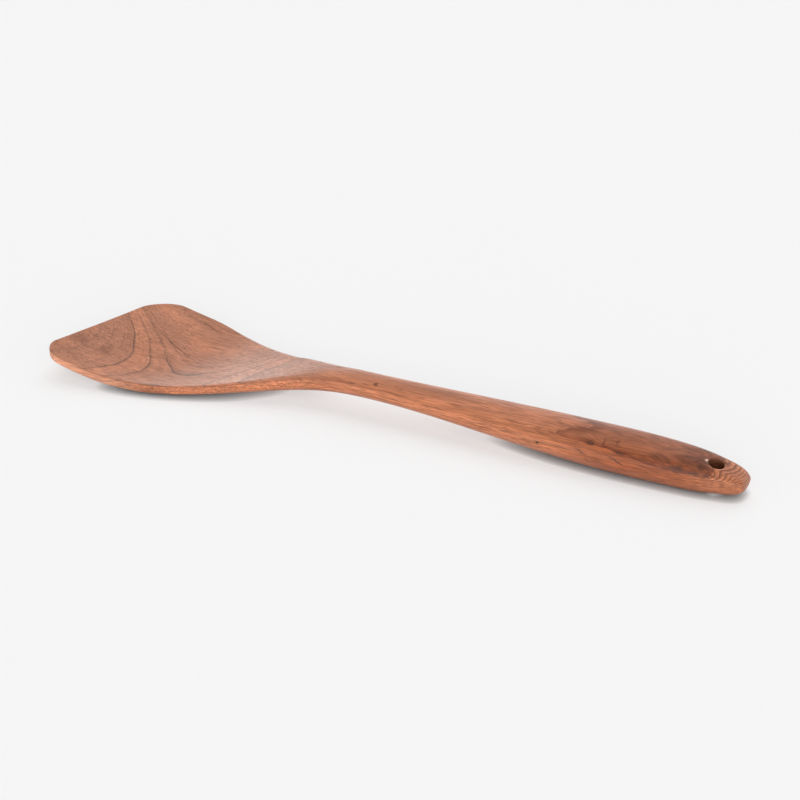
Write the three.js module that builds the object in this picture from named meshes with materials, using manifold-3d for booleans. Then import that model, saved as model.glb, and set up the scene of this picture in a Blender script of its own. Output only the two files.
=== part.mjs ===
// Wooden turner: a spatula carved from one board of teak. It has a scooped blade with a slanted front
// edge, a neck that arches clear of the table, and a swelling grip with a hanging hole near its end.
// Millimetres, +Z up. +X runs from the blade to the end of the grip, and the origin is at the bottom
// centre of the whole piece.
import * as THREE from 'three';
import { mergeVertices } from 'three/addons/utils/BufferGeometryUtils.js';
import Module from 'manifold-3d';

// Lengths along the axis. The blade's are measured from the middle of its front edge.
const AXIS_LENGTH = 320;
const WIDEST_AT = 26;
const BLADE_REST_AT = 50;
const SHOULDER_AT = 95;
const NECK_AT = 129;
const CREST_PAST_NECK = 8;
const ARCH_PAST_NECK = 11;
const SLANT_ENDS_AT = 110;

// The grip's lengths are measured back from its end.
const GRIP_WIDEST_FROM_END = 72;
const TOP_LEVEL_FROM_END = 70;
const GRIP_REST_START_FROM_END = 46;
const GRIP_REST_STOP_FROM_END = 28;
const HOLE_FROM_END = 14;

// Widths in plan
const BLADE_WIDTH = 72;
const FRONT_NARROWING = 2;
const NECK_WIDTH = 14.5;
const GRIP_WIDTH = 25.5;
const BUTT_WIDTH = 9;

// The front edge: its slant in degrees, how far its ends stand back from a straight line, the rounding of
// its leading and trailing corners, and the rounding of the edge itself
const FRONT_SLANT = 22;
const FRONT_BOW = 1.5;
const LEADING_CORNER_RADIUS = 11;
const TRAILING_CORNER_RADIUS = 13;
const FRONT_EASE = 1.1;

// Heights of the underside and of the top face on the axis, before the underside is sanded
const TIP_LIFT = 11;
const TIP_CURVE = 1.55;
const ARCH_HEIGHT = 7.8;
const BUTT_LIFT = 5.2;
const FRONT_THICKNESS = 3.7;
const BLADE_THICKNESS = 4.1;
const BOARD_THICKNESS = 18.2;
const BUTT_TOP = 7.8;

// Depth sanded off the underside, which leaves a flat land under the blade and another under the grip
const SANDED_FLAT = 0.4;

// The hanging hole, how far it was bored off the axis, and how far its rims are eased
const HOLE_DIAMETER = 7;
const HOLE_OFF_AXIS = -1;
const RIM_EASE = 0.6;

// How finely the surface is divided
const RING_FACE_STEPS = 10;
const RING_EDGE_STEPS = 5;
const CORNER_STEPS = 9;
const LENGTH_STEP = 6;
const BUTT_STEPS = 12;
const HOLE_SIDES = 32;

const gripWidestAt = AXIS_LENGTH - GRIP_WIDEST_FROM_END;
const topLevelStop = AXIS_LENGTH - TOP_LEVEL_FROM_END;
const gripRestStart = AXIS_LENGTH - GRIP_REST_START_FROM_END;
const gripRestStop = AXIS_LENGTH - GRIP_REST_STOP_FROM_END;
const holeAt = AXIS_LENGTH - HOLE_FROM_END;
const crestAt = NECK_AT + CREST_PAST_NECK;
const archAt = NECK_AT + ARCH_PAST_NECK;
const shankAt = (NECK_AT + gripWidestAt) / 2;

// Shape of the cross-section at each station. The face and the back rise by these amounts from the axis
// to the sides, so a hollow face is positive and a crowned one negative, and a rounded back is positive.
// The edges are quarter ellipses, so wide and so tall.
const SECTIONS = [
  { at: 0, face: 0.6, back: 0.8, edgeWide: 1.0, edgeTall: 0.6 },
  { at: BLADE_REST_AT, face: 2.2, back: 2.0, edgeWide: 1.2, edgeTall: 0.8 },
  { at: SHOULDER_AT, face: 0.4, back: 2.0, edgeWide: 2.8, edgeTall: 2.1 },
  { at: NECK_AT, face: -1.2, back: 2.2, edgeWide: 4.0, edgeTall: 3.2 },
  { at: shankAt, face: -2.4, back: 3.2, edgeWide: 6.5, edgeTall: 5.2 },
  { at: gripWidestAt, face: -3.0, back: 4.0, edgeWide: 8.5, edgeTall: 6.5 },
  { at: holeAt, face: -0.3, back: 2.4, edgeWide: 5.0, edgeTall: 4.5 },
  { at: AXIS_LENGTH, face: -0.3, back: 0.8, edgeWide: 3.0, edgeTall: 2.0 },
];

// The largest share of the half width, and of the side's height, that a rounded edge may take
const EDGE_WIDTH_LIMIT = 0.9;
const EDGE_HEIGHT_LIMIT = 0.45;

// A smooth curve through points that never overshoots them: a monotone cubic
function through(points) {
  const count = points.length;
  const slopes = points.slice(1).map((point, i) => (point[1] - points[i][1]) / (point[0] - points[i][0]));
  const tangents = points.map((_, i) => {
    if (i === 0 || i === count - 1) return 0;
    const [before, after] = [slopes[i - 1], slopes[i]];
    return before * after <= 0 ? 0 : (2 * before * after) / (before + after);
  });
  return (at) => {
    if (at <= points[0][0]) return points[0][1];
    if (at >= points[count - 1][0]) return points[count - 1][1];
    const i = points.findIndex((point) => point[0] > at) - 1;
    const span = points[i + 1][0] - points[i][0];
    const t = (at - points[i][0]) / span;
    const blend = t * t * (3 - 2 * t);
    const leave = t * (1 - t) * (1 - t) * span * tangents[i];
    const arrive = t * t * (t - 1) * span * tangents[i + 1];
    return points[i][1] * (1 - blend) + points[i + 1][1] * blend + leave + arrive;
  };
}

// A quarter ellipse: level where it starts and steep where it stops
function roundOff(at, start, stop, startValue, stopValue) {
  const t = THREE.MathUtils.clamp((at - start) / (stop - start), 0, 1);
  return stopValue + (startValue - stopValue) * Math.sqrt(1 - t * t);
}

// How far a corner of this radius stands back from its side, at this distance from its end
function cornerCut(distance, radius) {
  const left = Math.max(radius - distance, 0);
  return radius - Math.sqrt(radius * radius - left * left);
}

const widths = through([
  [WIDEST_AT, BLADE_WIDTH / 2],
  [NECK_AT, NECK_WIDTH / 2],
  [gripWidestAt, GRIP_WIDTH / 2],
]);

function halfWidth(at) {
  if (at < WIDEST_AT) {
    const forward = (WIDEST_AT - at) / WIDEST_AT;
    return BLADE_WIDTH / 2 - (FRONT_NARROWING / 2) * forward * forward;
  }
  if (at < gripWidestAt) return widths(at);
  return roundOff(at, gripWidestAt, AXIS_LENGTH, GRIP_WIDTH / 2, BUTT_WIDTH / 2);
}

const arch = through([
  [BLADE_REST_AT, 0],
  [archAt, ARCH_HEIGHT],
  [gripRestStart, 0],
]);

// How far a station lies forward of the blade's resting line, from 0 there to 1 at the front edge
const forwardOfRest = (at) => Math.max(BLADE_REST_AT - at, 0) / BLADE_REST_AT;

function underside(at) {
  if (at < BLADE_REST_AT) return TIP_LIFT * forwardOfRest(at) ** TIP_CURVE + cornerCut(at, FRONT_EASE);
  if (at < gripRestStart) return arch(at);
  return roundOff(at, gripRestStop, AXIS_LENGTH, 0, BUTT_LIFT);
}

const rise = through([
  [BLADE_REST_AT, BLADE_THICKNESS],
  [crestAt, BOARD_THICKNESS],
]);

function topFace(at) {
  if (at < BLADE_REST_AT) {
    const thickness = BLADE_THICKNESS + (FRONT_THICKNESS - BLADE_THICKNESS) * forwardOfRest(at);
    return underside(at) + thickness - 2 * cornerCut(at, FRONT_EASE);
  }
  if (at < crestAt) return rise(at);
  return roundOff(at, topLevelStop, AXIS_LENGTH, BOARD_THICKNESS, BUTT_TOP);
}

const faceRise = through(SECTIONS.map((row) => [row.at, row.face]));
const backRise = through(SECTIONS.map((row) => [row.at, row.back]));
const edgeWidth = through(SECTIONS.map((row) => [row.at, row.edgeWide]));
const edgeHeight = through(SECTIONS.map((row) => [row.at, row.edgeTall]));

// The slant leans the front of the blade over, the bow rounds it, and both die away towards the neck
const slantFade = through([[0, 1], [SLANT_ENDS_AT, 0]]);

function slantShift(at, y) {
  const slant = Math.tan(THREE.MathUtils.degToRad(FRONT_SLANT)) * y;
  const bow = FRONT_BOW * ((2 * y) / BLADE_WIDTH) ** 2;
  return slantFade(at) * (slant + bow);
}

// One cross-section as a closed ring, counter-clockwise as seen from the end of the grip: along the back
// from the leading side to the trailing side, up its edge, and along the face back again
function ring(at) {
  const leading = halfWidth(at) - cornerCut(at, LEADING_CORNER_RADIUS);
  const trailing = halfWidth(at) - cornerCut(at, TRAILING_CORNER_RADIUS);
  const face = (share) => topFace(at) + faceRise(at) * share * share;
  const back = (share) => underside(at) + backRise(at) * share * share;
  const wide = Math.min(edgeWidth(at), EDGE_WIDTH_LIMIT * Math.min(leading, trailing));
  const tall = Math.min(edgeHeight(at), EDGE_HEIGHT_LIMIT * (face(1) - back(1)));
  const points = [];
  const add = (y, z) => points.push(new THREE.Vector3(at + slantShift(at, y), y, z));
  const run = (fromY, toY, height) => {
    for (let i = 0; i <= RING_FACE_STEPS; i += 1) {
      const y = THREE.MathUtils.lerp(fromY, toY, i / RING_FACE_STEPS);
      add(y, height(y / (y < 0 ? leading : trailing)));
    }
  };
  // An edge rounds between the face or the back and the upright side, outward or back inward
  const edge = (side, reach, height, inward, outbound) => {
    for (let i = 1; i < RING_EDGE_STEPS; i += 1) {
      const turn = ((outbound ? i : RING_EDGE_STEPS - i) / RING_EDGE_STEPS) * (Math.PI / 2);
      const y = reach - wide + wide * Math.sin(turn);
      add(side * y, height(y / reach) + inward * tall * (1 - Math.cos(turn)));
    }
  };
  run(-(leading - wide), trailing - wide, back);
  edge(1, trailing, back, 1, true);
  add(trailing, back(1) + tall);
  add(trailing, face(1) - tall);
  edge(1, trailing, face, -1, false);
  run(trailing - wide, -(leading - wide), face);
  edge(-1, leading, face, -1, true);
  add(-leading, face(1) - tall);
  add(-leading, back(1) + tall);
  edge(-1, leading, back, 1, false);
  return points;
}

// Stations along the axis: close together round the front corners and the end of the grip, where the
// outline turns, and evenly spaced between
function stations() {
  const list = [];
  const cornerEnd = Math.max(LEADING_CORNER_RADIUS, TRAILING_CORNER_RADIUS);
  for (let i = 0; i < CORNER_STEPS; i += 1) {
    list.push(cornerEnd * (1 - Math.cos((i / CORNER_STEPS) * (Math.PI / 2))));
  }
  const steps = Math.round((gripWidestAt - cornerEnd) / LENGTH_STEP);
  for (let i = 0; i < steps; i += 1) {
    list.push(THREE.MathUtils.lerp(cornerEnd, gripWidestAt, i / steps));
  }
  for (let i = 0; i <= BUTT_STEPS; i += 1) {
    list.push(gripWidestAt + GRIP_WIDEST_FROM_END * Math.sin((i / BUTT_STEPS) * (Math.PI / 2)));
  }
  return list;
}

// A closed skin over a row of rings, with a flat fan on the first and the last
function loft(rings) {
  const size = rings[0].length;
  const triangles = [];
  for (let r = 0; r + 1 < rings.length; r += 1) {
    for (let i = 0; i < size; i += 1) {
      const j = (i + 1) % size;
      const [a, b] = [r * size + i, r * size + j];
      triangles.push(a, b, b + size, a, b + size, a + size);
    }
  }
  const points = rings.flat();
  const cap = (start, flip) => {
    const middle = points.length;
    const centre = new THREE.Vector3();
    for (let i = 0; i < size; i += 1) centre.addScaledVector(points[start + i], 1 / size);
    points.push(centre);
    for (let i = 0; i < size; i += 1) {
      const [a, b] = [start + i, start + ((i + 1) % size)];
      triangles.push(middle, flip ? b : a, flip ? a : b);
    }
  };
  cap(0, true);
  cap((rings.length - 1) * size, false);
  const geometry = new THREE.BufferGeometry().setFromPoints(points);
  geometry.setIndex(triangles);
  return geometry;
}

const wasm = await Module();
wasm.setup();

function toSolid(geometry) {
  const bare = geometry.clone();
  bare.deleteAttribute('normal');
  bare.deleteAttribute('uv');
  const merged = mergeVertices(bare);
  return new wasm.Manifold(new wasm.Mesh({
    numProp: 3,
    vertProperties: new Float32Array(merged.attributes.position.array),
    triVerts: new Uint32Array(merged.index.array),
  }));
}

function toGeometry(solid) {
  const mesh = solid.getMesh();
  const geometry = new THREE.BufferGeometry();
  geometry.setAttribute('position', new THREE.BufferAttribute(new Float32Array(mesh.vertProperties), 3));
  geometry.setIndex(new THREE.BufferAttribute(new Uint32Array(mesh.triVerts), 1));
  return geometry;
}

// The underside as it is left once the flats are sanded
const sandedUnderside = (at) => Math.max(underside(at), SANDED_FLAT);

// Tilt of a height curve along the axis, as a turn about Y
function tilt(height, at) {
  return -Math.atan((height(at + 1) - height(at - 1)) / 2);
}

// An upright round cutter about the origin
function roundCutter(topRadius, bottomRadius, height) {
  return new THREE.CylinderGeometry(topRadius, bottomRadius, height, HOLE_SIDES).rotateX(Math.PI / 2);
}

// A funnel that eases one rim of the hole by RIM_EASE, opening upwards from a surface at z = 0
function rimFunnel() {
  const rimRadius = HOLE_DIAMETER / 2 + RIM_EASE;
  const reach = 2 * RIM_EASE;
  return roundCutter(rimRadius + reach, rimRadius - reach, 2 * reach);
}

// The hole is bored straight down, and each rim is eased square to the surface that it opens on
function holeCutter() {
  const bore = roundCutter(HOLE_DIAMETER / 2, HOLE_DIAMETER / 2, 3 * BOARD_THICKNESS);
  const top = rimFunnel().rotateY(tilt(topFace, holeAt)).translate(0, 0, topFace(holeAt));
  const bottom = rimFunnel().rotateX(Math.PI).rotateY(tilt(sandedUnderside, holeAt));
  bottom.translate(0, 0, sandedUnderside(holeAt));
  return toSolid(bore).add(toSolid(top)).add(toSolid(bottom)).translate([holeAt, HOLE_OFF_AXIS, 0]);
}

// Everything below the sanding line
function sandedWaste() {
  const box = new THREE.BoxGeometry(3 * AXIS_LENGTH, 2 * BLADE_WIDTH, BOARD_THICKNESS);
  return toSolid(box.translate(0, 0, SANDED_FLAT - BOARD_THICKNESS / 2));
}

// The carved piece, moved so that the origin is at the bottom centre of its box
function spatulaGeometry() {
  const blank = toSolid(loft(stations().map(ring)));
  const geometry = toGeometry(blank.subtract(sandedWaste()).subtract(holeCutter()));
  geometry.computeBoundingBox();
  const { min, max } = geometry.boundingBox;
  return geometry.translate(-(min.x + max.x) / 2, -(min.y + max.y) / 2, -min.z);
}

const teak = new THREE.MeshStandardMaterial({ color: 0x9c5d3f, roughness: 0.5, metalness: 0 });
teak.name = 'oiled_teak';
const spatula = new THREE.Mesh(spatulaGeometry(), teak);
spatula.name = 'spatula';

const turner = new THREE.Group();
turner.add(spatula);
export default turner;
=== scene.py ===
"""Looks of a spatula carved from one board of teak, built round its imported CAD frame.

The script is laid out as an add-on with a panel of sizes, finishes and stage settings. It carves the fine
surface over the CAD solid, gives it an oiled teak finish, and sets up the floor, the lamps and the camera.
"""
import math

import bpy
import numpy as np
from bpy.props import FloatProperty, FloatVectorProperty, PointerProperty
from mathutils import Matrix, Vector


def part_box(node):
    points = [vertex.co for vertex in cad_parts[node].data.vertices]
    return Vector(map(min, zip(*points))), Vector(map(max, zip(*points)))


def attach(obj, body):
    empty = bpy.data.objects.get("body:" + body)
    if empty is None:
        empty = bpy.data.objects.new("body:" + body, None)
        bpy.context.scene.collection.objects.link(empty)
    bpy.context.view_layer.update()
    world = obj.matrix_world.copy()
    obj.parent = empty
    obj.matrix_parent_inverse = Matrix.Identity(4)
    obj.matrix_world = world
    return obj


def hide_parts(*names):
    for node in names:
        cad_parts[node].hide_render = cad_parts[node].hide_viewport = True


bl_info = {
    "name": "Carved Teak Spatula",
    "version": (1, 0, 0),
    "blender": (4, 5, 0),
    "location": "View3D > Sidebar > Spatula",
    "description": "Carves a teak spatula on its CAD frame, finishes the wood and sets the stage",
    "category": "Object",
}

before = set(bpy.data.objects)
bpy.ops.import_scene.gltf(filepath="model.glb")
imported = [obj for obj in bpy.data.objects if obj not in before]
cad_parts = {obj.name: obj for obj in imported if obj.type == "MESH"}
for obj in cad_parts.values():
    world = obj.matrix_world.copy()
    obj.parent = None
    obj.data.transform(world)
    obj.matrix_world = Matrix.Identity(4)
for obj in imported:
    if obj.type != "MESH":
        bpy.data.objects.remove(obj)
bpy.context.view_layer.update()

MM = 0.001
CAD_NODE = "spatula"
BODY = "root"

# How finely the surface is divided
FRONT_STEPS = 8
CORNER_STEPS = 22
LENGTH_STEP = 1.0 * MM
BUTT_STEPS = 76
RUN_STEPS = 44
EDGE_STEPS = 12

# Where the steps of the corners start, as a multiple of the front edge's rounding
CORNER_START = 1.1

# The hole's patch: how far it reaches past the eased rim, and its rings
PATCH_MARGIN = 1.6 * MM
PATCH_RINGS = 5
RIM_RINGS = 6
BORE_RINGS = 6

# Cross-sections by the name of their place on the axis, in millimetres: how far the face and the back
# rise from the axis to the sides, and how wide and how tall the rounded edges are. The places move
# with the sizes, so Form works them out.
SECTIONS = {
    "front": (0.6, 0.8, 1.0, 0.6),
    "blade_rest": (2.2, 2.0, 1.2, 0.8),
    "shoulder": (0.4, 2.0, 2.8, 2.1),
    "neck": (-1.2, 2.2, 4.0, 3.2),
    "shank": (-2.4, 3.2, 6.5, 5.2),
    "grip": (-3.0, 4.0, 8.5, 6.5),
    "hole": (-0.3, 2.4, 5.0, 4.5),
    "butt": (-0.3, 0.8, 3.0, 2.0),
}

# Where the knuckle of the trailing rim starts and stands out most, past the shoulder
KNUCKLE_START = 3 * MM
KNUCKLE_PEAK = 12 * MM

# The largest share of the half width, and of the side's height, that a rounded edge may take
EDGE_WIDTH_LIMIT = 0.9
EDGE_HEIGHT_LIMIT = 0.45


def linear(hex_colour):
    """A colour written as sRGB hex, as the linear values that Blender works in."""
    values = [int(hex_colour[i : i + 2], 16) / 255 for i in (1, 3, 5)]
    return tuple(v / 12.92 if v <= 0.04045 else ((v + 0.055) / 1.055) ** 2.4 for v in values)


def length_property(name, description, millimetres):
    """A length that a user may change."""
    return FloatProperty(name=name, description=description, default=millimetres * MM, unit="LENGTH")


def angle_property(name, description, degrees):
    """An angle that a user may change."""
    return FloatProperty(name=name, description=description, default=math.radians(degrees), unit="ROTATION")


def share_property(name, description, share):
    """A share, from none to all, that a user may change."""
    return FloatProperty(name=name, description=description, default=share, min=0, max=1, subtype="FACTOR")


def strength_property(name, description, strength):
    """A strength of light that a user may change."""
    return FloatProperty(name=name, description=description, default=strength, min=0)


def colour_property(name, description, hex_colour):
    """A colour that a user may change."""
    colour = linear(hex_colour)
    return FloatVectorProperty(name=name, description=description, default=colour, subtype="COLOR")


class SpatulaSizes(bpy.types.PropertyGroup):
    """Sizes of the carved piece. Places on the axis run from the middle of the front edge."""

    axis_length: length_property("Length", "From the middle of the front edge to the butt", 320)
    widest_at: length_property("Blade Widest At", "Where the blade is widest", 26)
    blade_rest_at: length_property("Blade Rests At", "Where the blade touches the table", 50)
    shoulder_at: length_property("Shoulder At", "Where the hollow face runs out", 95)
    neck_at: length_property("Neck At", "Where the neck is narrowest", 129)
    crest_past_neck: length_property("Crest Past Neck", "From the neck to the highest face", 8)
    arch_past_neck: length_property("Arch Past Neck", "From the neck to the highest underside", 11)
    slant_ends_at: length_property("Slant Ends At", "Where the slant has died away", 110)
    grip_widest_from_end: length_property("Grip Widest From End", "From the butt to the widest grip", 72)
    top_level_from_end: length_property("Top Level From End", "From the butt to where the top drops", 70)
    grip_rest_start_from_end: length_property("Grip Rest Start", "From the butt to the resting land", 46)
    grip_rest_stop_from_end: length_property("Grip Rest Stop", "From the butt to the land's end", 28)
    hole_from_end: length_property("Hole From End", "From the butt to the hanging hole", 14)
    blade_width: length_property("Blade Width", "Across the blade at its widest", 72)
    front_narrowing: length_property("Front Narrowing", "How much narrower the front is", 2)
    neck_width: length_property("Neck Width", "Across the neck at its narrowest", 14.5)
    grip_width: length_property("Grip Width", "Across the grip at its widest", 25.5)
    butt_width: length_property("Butt Width", "Across the flat at the butt", 9)
    front_slant: angle_property("Front Slant", "Slant of the front edge", 22)
    front_bow: length_property("Front Bow", "How far the ends of the front edge stand back", 1.5)
    leading_corner: length_property("Leading Corner", "Radius of the leading corner", 11)
    trailing_corner: length_property("Trailing Corner", "Rounding of the trailing corner on the side", 10.5)
    trailing_sweep: length_property("Trailing Sweep", "Rounding of the trailing corner at the front", 17.5)
    knuckle: length_property("Knuckle", "How far the trailing rim stands out where the hollow ends", 1.1)
    front_ease: length_property("Front Ease", "Rounding of the front edge", 1.1)
    tip_lift: length_property("Tip Lift", "How far the front edge is off the table", 11)
    tip_curve: FloatProperty(
        name="Tip Curve", description="How late the blade turns up: 1 is straight", default=1.55, min=1
    )
    arch_height: length_property("Arch Height", "Clearance under the neck", 7.8)
    butt_lift: length_property("Butt Lift", "How far the butt is off the table", 5.2)
    front_thickness: length_property("Front Thickness", "Thickness at the front edge", 3.7)
    blade_thickness: length_property("Blade Thickness", "Thickness where the blade rests", 4.1)
    board_thickness: length_property("Board Thickness", "Height of the level top", 18.2)
    butt_top: length_property("Butt Top", "Height of the butt's upper edge", 7.8)
    sanded_flat: length_property("Sanded Flat", "Depth sanded off the underside", 0.4)
    hole_diameter: length_property("Hole Diameter", "Bore of the hanging hole", 7)
    hole_off_axis: length_property("Hole Off Axis", "How far the bore is off the axis", -1)
    rim_ease: length_property("Rim Ease", "Rounding of the hole's rims", 0.6)


class TeakFinish(bpy.types.PropertyGroup):
    """Colours and grain of the oiled teak."""

    side_colour: colour_property("Side", "Wood cut across its layers", "#c97c54")
    # Face: wood cut along its layers, its paler tone partly a painted sheen
    face_and_sheen_colour: colour_property("Face", "Wood cut along its layers", "#cc8867")
    # Painted shade on the rounded shoulders between face and side
    shoulder_shade_colour: colour_property("Oblique", "Wood cut oblique to its layers", "#9a5431")
    grey_colour: colour_property("Grey Layer", "Dense layers that oil turns greyish", "#a2715b")
    tan_colour: colour_property("Grip", "Wood tanned by the hand", "#924822")
    heart_colour: colour_property("Heart", "Dark heart in the grip", "#5a240d")
    late_colour: colour_property("Late Wood", "Dense late wood of a ring", "#6a3d2a")
    line_colour: colour_property("Ring Line", "The few rings that stand out", "#57433c")
    pore_colour: colour_property("Pores", "Open vessels filled with oil", "#6b4230")
    mark_colour: colour_property("Marks", "Knots, spots and streaks", "#452a20")
    # Painted highlight on the hole's rim, and painted light on the front of the blade's side
    painted_highlight_colour: colour_property("Worn Wood", "Wood rubbed bare at the hole and the edge", "#eac2aa")
    # Painted shade inside the hanging hole
    bore_shade_colour: colour_property("Bore", "Wood darkened by the drill", "#55301f")
    ring_spacing: length_property("Ring Spacing", "Thickness of one growth ring", 0.6)
    roughness: share_property("Roughness", "Roughness of the oiled blade", 0.33)
    ior: FloatProperty(name="IOR", description="Refraction of the hardened oil", default=1.48, min=1)


class StageSettings(bpy.types.PropertyGroup):
    """Floor, lamps, surroundings and camera."""

    floor_colour: colour_property("Floor", "Colour of the card floor", "#f3f3f3")
    floor_glow: share_property("Floor Glow", "Share of the floor that is seen as plain white", 0.5)
    wall_strength: strength_property("Walls", "White walls that the oil reflects", 2.4)
    screen_strength: strength_property("Screen", "Light of the screen behind the camera", 1.5)
    back_strength: strength_property("Back", "Light from behind the object", 0.3)
    ceiling_strength: strength_property("Ceiling", "Light of the ceiling", 0.2)
    key_strength: strength_property("Key", "Light of the soft lamp above and behind", 1.5)
    fill_strength: strength_property("Fill", "Light of the soft lamp at the camera", 1.5)
    camera_azimuth: angle_property("Azimuth", "Camera's turn round the object", 25.17)
    camera_elevation: angle_property("Elevation", "Camera's angle above the floor", 29.01)
    camera_distance: length_property("Distance", "From the camera to its target", 1050)
    camera_target: FloatVectorProperty(
        name="Target", description="Point on the floor that the camera faces",
        default=(-4.96 * MM, 14.32 * MM, 0), subtype="TRANSLATION",
    )
    lens: FloatProperty(
        name="Lens", description="Focal length on a 36 mm sensor", default=103.0, unit="CAMERA"
    )


def through(points):
    """A smooth curve through points that never overshoots them: a monotone cubic, level at its ends."""
    at, value = np.array(points, float).T
    slope = np.diff(value) / np.diff(at)
    before, after = slope[:-1], slope[1:]
    together = before * after > 0
    total = np.where(together, before + after, 1)
    tangent = np.zeros(len(at))
    tangent[1:-1] = np.where(together, 2 * before * after / total, 0)

    def curve(place):
        place = np.clip(place, at[0], at[-1])
        i = np.clip(np.searchsorted(at, place, side="right") - 1, 0, len(at) - 2)
        span = at[i + 1] - at[i]
        t = (place - at[i]) / span
        blend = t * t * (3 - 2 * t)
        leave = t * (1 - t) ** 2 * span * tangent[i]
        arrive = t * t * (t - 1) * span * tangent[i + 1]
        return value[i] * (1 - blend) + value[i + 1] * blend + leave + arrive

    return curve


def round_off(at, start, stop, start_value, stop_value):
    """A quarter ellipse: level where it starts and steep where it stops."""
    t = np.clip((at - start) / (stop - start), 0, 1)
    return stop_value + (start_value - stop_value) * np.sqrt(1 - t * t)


def corner_cut(distance, length, depth):
    """How far a corner that is rounded as a quarter ellipse stands back, this far from its end."""
    left = np.maximum(1 - distance / length, 0)
    return depth * (1 - np.sqrt(1 - left * left))


class Form:
    """The spatula's outline, heights and cross-sections, as functions of the place along its axis."""

    def __init__(self, sizes):
        self.sizes = sizes
        length = sizes.axis_length
        self.grip_widest_at = length - sizes.grip_widest_from_end
        self.top_level_stop = length - sizes.top_level_from_end
        self.grip_rest_start = length - sizes.grip_rest_start_from_end
        self.grip_rest_stop = length - sizes.grip_rest_stop_from_end
        self.hole_at = length - sizes.hole_from_end
        self.crest_at = sizes.neck_at + sizes.crest_past_neck
        shank_at = (sizes.neck_at + self.grip_widest_at) / 2
        arch_at = sizes.neck_at + sizes.arch_past_neck
        self.widths = through([
            (sizes.widest_at, sizes.blade_width / 2),
            (sizes.neck_at, sizes.neck_width / 2),
            (self.grip_widest_at, sizes.grip_width / 2),
        ])
        rest_at = sizes.blade_rest_at
        self.arch = through([(rest_at, 0), (arch_at, sizes.arch_height), (self.grip_rest_start, 0)])
        self.rise = through([(rest_at, sizes.blade_thickness), (self.crest_at, sizes.board_thickness)])
        self.slant_fade = through([(0, 1), (sizes.slant_ends_at, 0)])
        start, peak = sizes.shoulder_at + KNUCKLE_START, sizes.shoulder_at + KNUCKLE_PEAK
        self.knuckle = through([(start, 0), (peak, sizes.knuckle), (sizes.neck_at, 0)])
        places = {
            "front": 0,
            "blade_rest": rest_at,
            "shoulder": sizes.shoulder_at,
            "neck": sizes.neck_at,
            "shank": shank_at,
            "grip": self.grip_widest_at,
            "hole": self.hole_at,
            "butt": length,
        }
        at = [places[name] for name in SECTIONS]
        columns = [through(list(zip(at, np.array(column) * MM))) for column in zip(*SECTIONS.values())]
        self.face_rise, self.back_rise, self.edge_wide, self.edge_tall = columns

    def forward_of_rest(self, at):
        """How far a place lies before the blade's rest: 1 is the front edge."""
        rest = self.sizes.blade_rest_at
        return np.maximum(rest - at, 0) / rest

    def half_width(self, at):
        """Half the width, before the corners are rounded."""
        sizes = self.sizes
        forward = np.maximum(sizes.widest_at - at, 0) / sizes.widest_at
        blade = sizes.blade_width / 2 - sizes.front_narrowing / 2 * forward**2
        grip = round_off(
            at, self.grip_widest_at, sizes.axis_length, sizes.grip_width / 2, sizes.butt_width / 2
        )
        middle = np.where(at < self.grip_widest_at, self.widths(at), grip)
        return np.where(at < sizes.widest_at, blade, middle)

    def leading(self, at):
        """How far the leading side is off the axis."""
        corner = self.sizes.leading_corner
        return self.half_width(at) - corner_cut(at, corner, corner)

    def trailing(self, at):
        """How far the trailing side is off the axis."""
        corner = corner_cut(at, self.sizes.trailing_corner, self.sizes.trailing_sweep)
        return self.half_width(at) + self.knuckle(at) - corner

    def underside(self, at):
        """Height of the back on the axis, before it is sanded."""
        sizes = self.sizes
        eased = corner_cut(at, sizes.front_ease, sizes.front_ease)
        blade = sizes.tip_lift * self.forward_of_rest(at) ** sizes.tip_curve + eased
        butt = round_off(at, self.grip_rest_stop, sizes.axis_length, 0, sizes.butt_lift)
        middle = np.where(at < self.grip_rest_start, self.arch(at), butt)
        return np.where(at < sizes.blade_rest_at, blade, middle)

    def top_face(self, at):
        """Height of the face on the axis, before the back is sanded."""
        sizes = self.sizes
        thinning = (sizes.front_thickness - sizes.blade_thickness) * self.forward_of_rest(at)
        eased = corner_cut(at, sizes.front_ease, sizes.front_ease)
        blade = self.underside(at) + sizes.blade_thickness + thinning - 2 * eased
        grip = round_off(at, self.top_level_stop, sizes.axis_length, sizes.board_thickness, sizes.butt_top)
        middle = np.where(at < self.crest_at, self.rise(at), grip)
        return np.where(at < sizes.blade_rest_at, blade, middle)

    def edge(self, at):
        """Width and height of the rounded edges."""
        narrow = np.minimum(self.leading(at), self.trailing(at))
        side = self.top_face(at) + self.face_rise(at) - self.underside(at) - self.back_rise(at)
        wide = np.minimum(self.edge_wide(at), EDGE_WIDTH_LIMIT * narrow)
        tall = np.minimum(self.edge_tall(at), EDGE_HEIGHT_LIMIT * side)
        return wide, tall

    def heights(self, at, y):
        """Heights of the face and of the sanded back, at a station and a distance off the axis."""
        reach = np.where(y < 0, self.leading(at), self.trailing(at))
        share = np.minimum(np.abs(y) / reach, 1)
        wide, tall = self.edge(at)
        past = np.clip((np.abs(y) - (reach - wide)) / wide, 0, 1)
        fall = tall * (1 - np.sqrt(1 - past**2))
        face = self.top_face(at) + self.face_rise(at) * share**2 - fall
        back = self.underside(at) + self.back_rise(at) * share**2 + fall
        flat = self.sizes.sanded_flat
        return face - flat, np.maximum(back, flat) - flat

    def points(self, at, y):
        """Points of the face and of the back over places in plan, in the frame."""
        face, back = self.heights(at, y)
        sizes = self.sizes
        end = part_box(CAD_NODE)[1].x
        slant = math.tan(sizes.front_slant) * y
        bow = sizes.front_bow * (2 * y / sizes.blade_width) ** 2
        x = at - sizes.axis_length + end + self.slant_fade(at) * (slant + bow)
        return np.stack([x, y, face], -1), np.stack([x, y, back], -1)

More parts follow.
